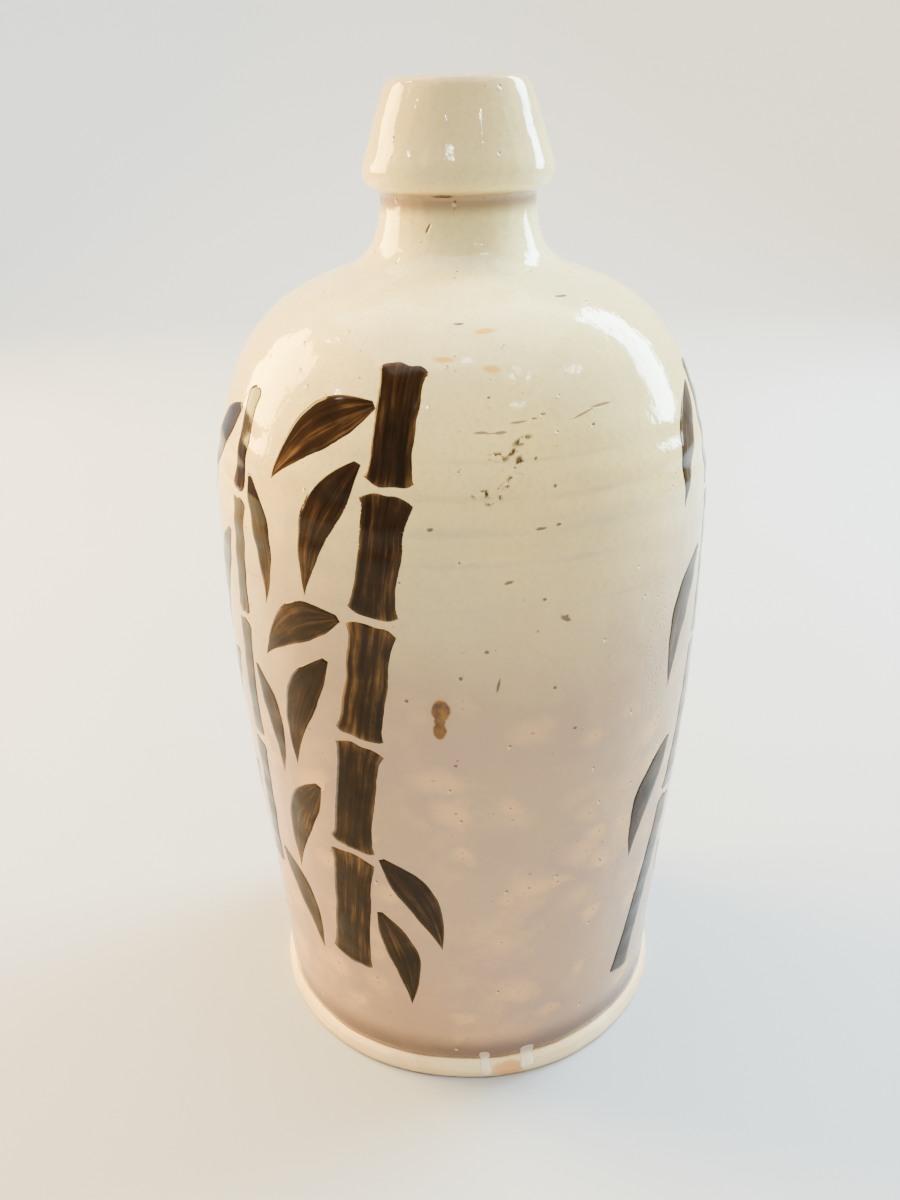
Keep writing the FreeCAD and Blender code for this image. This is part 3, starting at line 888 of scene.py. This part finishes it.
def iron_brown():
    """The brushwork: near black where the brush was loaded, brown streaks and edges where it was thin."""
    s = Shader("iron_brown")
    across = s.attribute("across")
    along = s.times(s.attribute("along"), 0.035)
    lane = s.node("ShaderNodeCombineXYZ", {0: s.times(across, 3.0), 1: along, 2: s.attribute("which")})
    bristles = s.noise(1.5, 4.0, 0.55, lane.outputs[0])
    pooled = s.noise(95.0, 3.0, 0.55)
    load = s.plus(s.times(bristles, 0.62), s.times(pooled, 0.38))
    load = s.plus(load, s.times(s.attribute("dry"), 0.1))
    load = s.plus(load, s.times(s.step(across, 0.62, 1.0), 0.09))
    load = s.plus(load, s.times(s.step(across, -0.86, -1.0), 0.04))
    tone = s.ramp(load, [
        (0.42, srgb(30, 20, 12)),
        (0.55, srgb(46, 31, 18)),
        (0.63, srgb(74, 52, 30)),
        (0.72, srgb(106, 78, 46)),
        (0.86, srgb(140, 106, 64)),
    ])
    bluish = s.step(s.noise(60.0, 3.0), 0.56, 0.7)
    tone = s.tint(tone, bluish, 0.3, srgb(56, 44, 34))
    rough = s.step(pooled, 0.3, 0.8, 0.07, 0.16)
    waves = s.bump(s.noise(135.0, 2.0, 0.4), 0.3, 0.6)
    return s.done(tone, rough, s.bump(bristles, 0.03, 0.4, waves), 0.09)


def run_glaze():
    """Thick glaze that ran down over the foot, creamy with a toasted rim, and darker at its top with the
    painted shade above the foot.
    """
    s = Shader("run_glaze")
    tone = s.ramp(s.noise(160.0, 3.0), [
        (0.3, srgb(248, 228, 186)),
        (0.55, srgb(252, 239, 206)),
        (0.75, srgb(254, 246, 222)),
    ])
    rim = s.step(s.attribute("edge"), 0.72, 1.0)
    tone = s.tint(tone, rim, 0.7, srgb(180, 134, 84))
    # Painted shade: the top of each run darkens to match the painted shade band above the foot.
    tone = s.tint(tone, s.step(s.height(), 5.6, 8.2), 0.8, srgb(164, 136, 112))
    normal = s.bump(s.noise(300.0, 2.0), 0.08, 0.5)
    return s.done(tone, s.step(s.noise(90.0), 0.3, 0.7, 0.05, 0.12), normal)


CREAM = cream_glaze()
LINING = lining_glaze()
BARE = bare_clay()
CLAY = stoneware()
IRON = iron_brown()
RUN = run_glaze()


# ---- brush strokes ----

def stroke_line(size):
    """The stroke's middle azimuth, its ends beside that azimuth, its length and its direction."""
    azimuth_a, z_a, azimuth_b, z_b = size[:4]
    middle = (azimuth_a + azimuth_b) / 2
    a = np.array([BELLY_R * math.radians(azimuth_a - middle), z_a])
    b = np.array([BELLY_R * math.radians(azimuth_b - middle), z_b])
    length = float(np.hypot(*(b - a)))
    return middle, a, b, length, (b - a) / length


def stroke_half(width, profile, shares):
    """Half widths of a stroke at these shares of its length."""
    t, x = np.array(profile).T
    x = x * width / 2
    return np.maximum(0.0, spline_at(t, x, second_slopes(t, x), shares))


def uneven_edge(half, share, seed, side):
    """The half width at one edge, with the brush's small unevenness."""
    slow = 0.09 * noise.noise(Vector((share * 5.0, side * 3.1, seed)))
    quick = 0.025 * noise.noise(Vector((share * 17.0, side * 5.3, seed)))
    return half * (1 + slow + quick)


def add_stroke(verts, faces, marks, size, leafy, seed):
    """Adds one stroke as a thin closed slab that follows the wall."""
    middle, a, b, length, along = stroke_line(size)
    bow = size[5] if leafy else 0.0
    steps = max(16, int(length / STROKE_STEP))
    shares = np.linspace(0.0, 1.0, steps + 1)
    halves = stroke_half(size[4], LEAF_PROFILE if leafy else STALK_PROFILE, shares)
    first = len(verts)
    for layer in (STROKE_PROUD, -STROKE_DEPTH):
        for share, half in zip(shares, halves):
            aside = 4 * bow * length * share * (1 - share)
            for lane in range(STROKE_LANES + 1):
                across = lane / STROKE_LANES * 2 - 1
                edge = uneven_edge(max(half, STROKE_FINEST), share, seed, math.copysign(1, across))
                crown = 1 - across ** 6
                tail = end_fray(across, share, seed, leafy, length)
                off = aside + across * edge
                side = a[0] + (b[0] - a[0]) * share - along[1] * off + along[0] * tail
                z = a[1] + (b[1] - a[1]) * share + along[0] * off + along[1] * tail
                radius = outside_radius(z)
                azimuth = math.radians(middle) + math.asin(max(-1.0, min(1.0, side / radius)))
                lift = layer * crown if layer > 0 else layer
                verts.append(warped(radius + lift, z, azimuth, True))
                dry = share ** 3 if leafy else abs(2 * share - 1) ** 8
                marks.append((share * length, across, dry, seed))
    faces.extend(slab_faces(first, steps, STROKE_LANES))


def end_fray(across, share, seed, leafy, length):
    """How far a stalk's ends stray along the stroke: rounded corners, and bristles leaving the wall."""
    if leafy:
        return 0.0
    near = max(0.0, 1 - share * length / END_REACH)
    far = max(0.0, 1 - (1 - share) * length / END_REACH)
    stray = 0.7 * noise.noise(Vector((across * 1.8, seed * 1.7, 4.0 if near > 0 else 9.0)))
    inward = END_ROUND * abs(across) ** 4
    return (stray + inward) * near + (stray - inward) * far


def make_strokes(name, sizes, leafy, first_seed):
    """One piece for all the stalks, or all the leaves, each stroke a closed slab of its own."""
    verts = []
    faces = []
    marks = []
    for number, size in enumerate(sizes):
        add_stroke(verts, faces, marks, size, leafy, first_seed + number * 1.37)
    mesh = bpy.data.meshes.new(name)
    mesh.from_pydata(verts, [], faces)
    outward(mesh)
    for column, label in enumerate(("along", "across", "dry", "which")):
        layer = mesh.attributes.new(label, "FLOAT", "POINT")
        layer.data.foreach_set("value", [mark[column] for mark in marks])
    finish_mesh(name, mesh, "brush_strokes", IRON)


# ---- pieces ----

def make_outer_glaze():
    """The skin of glaze outside, from its rolled lower edge up to the crown of the lip."""
    wall, neck, collar = glazed_outside(GLAZE_SPACING)
    backs = [run[::-1] for run in reversed(glazed_outside(HIDDEN_SPACING, GLAZE))]
    lip_r = MOUTH_R + LIP_ROUND
    outline = joined(GLAZE_ROLL, wall[1:], neck, collar, [(lip_r, HEIGHT), (lip_r, HEIGHT - GLAZE)], *backs)
    mesh = lathe("outer_glaze", outline, GLAZE_SEGMENTS, True, line_wander)
    finish_mesh("outer_glaze_skin", mesh, "outer_glaze", CREAM)


def make_inner_glaze():
    """The lining of the hollow and the bore, turned over the lip."""
    backs = [run[::-1] for run in reversed(hollow(HIDDEN_SPACING))]
    centre = (MOUTH_R + LIP_ROUND, HEIGHT - LIP_ROUND)
    lip = arc(centre, LIP_ROUND, 180, 90, 6)
    lip_under = arc(centre, LIP_ROUND - GLAZE, 90, 180, 6)
    outline = joined(*hollow(HIDDEN_SPACING, GLAZE), lip, lip_under, *backs)
    mesh = lathe("inner_glaze", outline, CLAY_SEGMENTS)
    finish_mesh("inner_glaze_lining", mesh, "inner_glaze", LINING)


def make_base_disc():
    """The floor, with its bare standing ring, hollowed underside and seat for the wall."""
    floor, corner = hollow(HIDDEN_SPACING)[:2]
    seat = straight((SEAT_R, FOOT_TOP), (corner[0][0], FOOT_TOP), 3.0)
    under = joined(straight(UNDERSIDE[0], UNDERSIDE[1], 3.0), straight(UNDERSIDE[1], UNDERSIDE[2], 0.8),
                   straight(UNDERSIDE[2], UNDERSIDE[3], 1.5))
    outline = joined(under, smooth(FOOT_EDGE, 0.6), seat, [corner[0]], floor[::-1])
    mesh = lathe("base_disc", outline, FOOT_SEGMENTS)
    finish_mesh("foot_disc", mesh, "base_disc", BARE)


def make_body_wall():
    """The thrown wall, from its seat on the base disc to the joint under the neck."""
    outer = glazed_outside(CLAY_SPACING, GLAZE)[0]
    corner, inner = hollow(HIDDEN_SPACING)[1:3]
    seat_outer = (SEAT_R, FOOT_TOP)
    seat_inner = (corner[0][0], FOOT_TOP)
    outline = joined([seat_outer], outer[1:], inner[::-1], corner[::-1], [seat_inner])
    mesh = lathe("body_wall", outline, CLAY_SEGMENTS)
    finish_mesh("thrown_wall", mesh, "body_wall", CLAY)


def make_neck():
    """The neck, with the spigot that runs up inside the collar."""
    wall, outer = glazed_outside(CLAY_SPACING, GLAZE)[:2]
    throat = hollow(HIDDEN_SPACING)[3]
    corner_z = outer[-1][1] + 0.2
    spigot = [(NECK_R - GLAZE, corner_z), (SPIGOT_R, corner_z), (SPIGOT_R, SPIGOT_TOP),
              (MOUTH_R + GLAZE, SPIGOT_TOP)]
    outline = joined([wall[-1]], outer, spigot, throat[::-1])
    mesh = lathe("neck", outline, CLAY_SEGMENTS)
    finish_mesh("neck_section", mesh, "neck", CLAY)


def make_collar():
    """The sloping collar round the mouth, set over the neck's spigot."""
    collar = glazed_outside(CLAY_SPACING, GLAZE)[2]
    foot = (SPIGOT_R, collar[0][1])
    centre = (MOUTH_R + LIP_ROUND, HEIGHT - LIP_ROUND)
    lip = arc(centre, LIP_ROUND - GLAZE, 90, 180, 5)
    outline = joined(collar, lip, [(MOUTH_R + GLAZE, SPIGOT_TOP), (SPIGOT_R, SPIGOT_TOP), foot])
    mesh = lathe("mouth_collar", outline, CLAY_SEGMENTS)
    finish_mesh("umbrella_collar", mesh, "mouth_collar", CLAY)


def foot_radius(z):
    """Radius of the bare foot and the wall just above it."""
    if z > GLAZE_LINE:
        return outside_radius(z)
    heights = [q[1] for q in FOOT_EDGE] + [GLAZE_LINE]
    radii = [q[0] for q in FOOT_EDGE] + [outside_radius(GLAZE_LINE)]
    return float(np.interp(z, heights, radii))


def add_run(verts, faces, edges, azimuth, width, low, thick, lean):
    """Adds one run of glaze: a tongue that leaves the wall's skin and ends low on the foot in a round tip."""
    first = len(verts)
    for front in (True, False):
        for j in range(RUN_ROWS + 1):
            down = j / RUN_ROWS
            z = RUN_TOP + (low - RUN_TOP) * down
            tip = max(0.0, (down - 0.72) / 0.28)
            taper = 0.34 * math.exp(-(down / 0.5) ** 2)
            bulb = 0.3 * math.exp(-((down - 0.8) / 0.2) ** 2)
            half = width / 2 * (0.62 + taper + bulb)
            half *= (0.02 + 0.98 * max(0.0, 1 - tip * tip)) ** 0.5
            sway = lean * down + 0.25 * math.sin(3.1 * down + azimuth)
            under = min(1.0, max(0.0, (z - RUN_FREE) / (RUN_TOP - RUN_FREE)))
            for k in range(RUN_COLUMNS + 1):
                across = k / RUN_COLUMNS * 2 - 1
                turn = math.radians(azimuth) + (across * half + sway) / foot_radius(z)
                body = max(0.0, 1 - across * across) ** 0.6 * max(0.0, 1 - tip ** 3) ** 0.5
                rise = thick * body * (0.7 + 0.3 * down) * (1 - under) - RUN_SUNK * under
                out = rise - 0.02 if front else RUN_BACK
                verts.append(warped(foot_radius(z) + out, z, turn))
                edges.append(max(abs(across), tip))
    faces.extend(slab_faces(first, RUN_ROWS, RUN_COLUMNS))


def make_runs():
    """One piece for the runs, each a closed slab of its own."""
    verts = []
    faces = []
    edges = []
    for run in RUNS:
        add_run(verts, faces, edges, *run)
    mesh = bpy.data.meshes.new("glaze_runs")
    mesh.from_pydata(verts, [], faces)
    outward(mesh)
    layer = mesh.attributes.new("edge", "FLOAT", "POINT")
    layer.data.foreach_set("value", edges)
    finish_mesh("glaze_run_drips", mesh, "glaze_runs", RUN)


make_outer_glaze()
make_inner_glaze()
make_base_disc()
make_body_wall()
make_neck()
make_collar()
make_runs()
make_strokes("bamboo_stalks", STALKS, False, 3.0)
make_strokes("bamboo_leaves", LEAVES, True, 41.0)


# ---- stage and light ----

# Metres. The stage's middle is in front of the bottle, behind the camera
STAGE_CENTRE = -0.7
STAGE_FLAT = 1.9
STAGE_SWEEP = 0.6
STAGE_TOP = 2.8
NEAR_DARK = (0.42, 0.44, 0.465, 1.0)
NEAR_PALE = (0.45, 0.47, 0.495, 1.0)
WALL_BEHIND = (0.74, 0.74, 0.74, 1.0)


def pale_surface():
    """Pale grey, and paler on the wall behind the bottle."""
    s = Shader("pale_surface")
    split = s.node("ShaderNodeSeparateXYZ", {0: s.place})
    near = s.ramp(s.noise(3.0, 2.0), [(0.3, NEAR_DARK), (0.7, NEAR_PALE)])
    tone = s.mix(s.step(split.outputs[1], 0.2, 1.7), near, WALL_BEHIND)
    return s.done(tone, 0.85, specular=0.1)


def make_stage():
    """A pale round floor that sweeps up into a wall all round."""
    sweep = arc((STAGE_FLAT, STAGE_SWEEP), STAGE_SWEEP, -90, 0, 16)
    outline = [(0.7, 0.0), (1.3, 0.0)] + sweep + [(STAGE_FLAT + STAGE_SWEEP, STAGE_TOP)]
    segments = STAGE_SEGMENTS
    verts = [(0.0, STAGE_CENTRE, 0.0)]
    for r, z in outline:
        for k in range(segments):
            turn = math.tau * k / segments
            verts.append((r * math.cos(turn), STAGE_CENTRE + r * math.sin(turn), z))
    faces = [(0, 1 + k, 1 + (k + 1) % segments) for k in range(segments)]
    for ring in range(len(outline) - 1):
        low = 1 + ring * segments
        for k in range(segments):
            after = (k + 1) % segments
            faces.append((low + k, low + segments + k, low + segments + after, low + after))
    mesh = bpy.data.meshes.new("floor")
    mesh.from_pydata(verts, [], faces)
    for polygon in mesh.polygons:
        polygon.use_smooth = True
    floor = bpy.data.objects.new("floor", mesh)
    mesh.materials.append(pale_surface())
    bpy.context.scene.collection.objects.link(floor)


SOFTBOXES = [                 # name, azimuth, elevation, distance, width, height, roll, power, colour
    ("left_softbox", -112.0, 21.0, 1.0, 0.5, 0.66, 0.0, 68.0, (1.0, 0.64, 0.14)),
    ("right_softbox", 119.0, 26.0, 1.05, 0.28, 0.95, -30.0, 60.0, (0.68, 0.91, 1.0)),
    ("overhead", 180.0, 84.0, 1.7, 2.2, 2.2, 0.0, 94.0, (1.0, 0.96, 0.86)),
]
SMALL_LAMPS = [               # azimuth, elevation
    (-70.0, 36.0),
    (-16.0, 38.0),
    (31.0, 36.0),
    (72.0, 43.0),
    (8.0, 70.0),
    (41.0, 54.0),
    (-112.0, 48.0),
]
LAMP_AIM = (0.0, 0.0, 0.16)
LAMP_DISTANCE = 1.2
LAMP_SIZE = (0.026, 0.06)
LAMP_POWER = 1.0
LAMP_COLOUR = (1.0, 0.95, 0.85)
FILL = 0.24
FILL_COLOUR = (1.0, 0.93, 0.82, 1.0)


def area_light(name, azimuth, elevation, distance, width, height, roll, power, colour):
    """An area light that stands in this direction from the bottle and faces it."""
    turn = math.radians(azimuth)
    rise = math.radians(elevation)
    away = Vector((math.sin(turn) * math.cos(rise), -math.cos(turn) * math.cos(rise), math.sin(rise)))
    data = bpy.data.lights.new(name, "AREA")
    data.shape = "RECTANGLE"
    data.size = width
    data.size_y = height
    data.energy = power
    data.color = colour
    lamp = bpy.data.objects.new(name, data)
    facing = away.to_track_quat("Z", "Y") @ Quaternion((0.0, 0.0, 1.0), math.radians(roll))
    lamp.rotation_euler = facing.to_euler()
    lamp.location = Vector(LAMP_AIM) + away * distance
    lamp.visible_camera = False
    bpy.context.scene.collection.objects.link(lamp)


def make_light():
    """A warm softbox left, a cool one right, a wide one overhead, small lamps for sparkle, and a dim fill."""
    world = bpy.data.worlds.new("studio")
    world.use_nodes = True
    fill = world.node_tree.nodes["Background"]
    fill.inputs["Color"].default_value = FILL_COLOUR
    fill.inputs["Strength"].default_value = FILL
    bpy.context.scene.world = world
    for softbox in SOFTBOXES:
        area_light(*softbox)
    for number, (azimuth, elevation) in enumerate(SMALL_LAMPS):
        area_light("lamp_" + str(number + 1), azimuth, elevation, LAMP_DISTANCE, *LAMP_SIZE, 0.0,
                   LAMP_POWER, LAMP_COLOUR)


make_stage()
make_light()
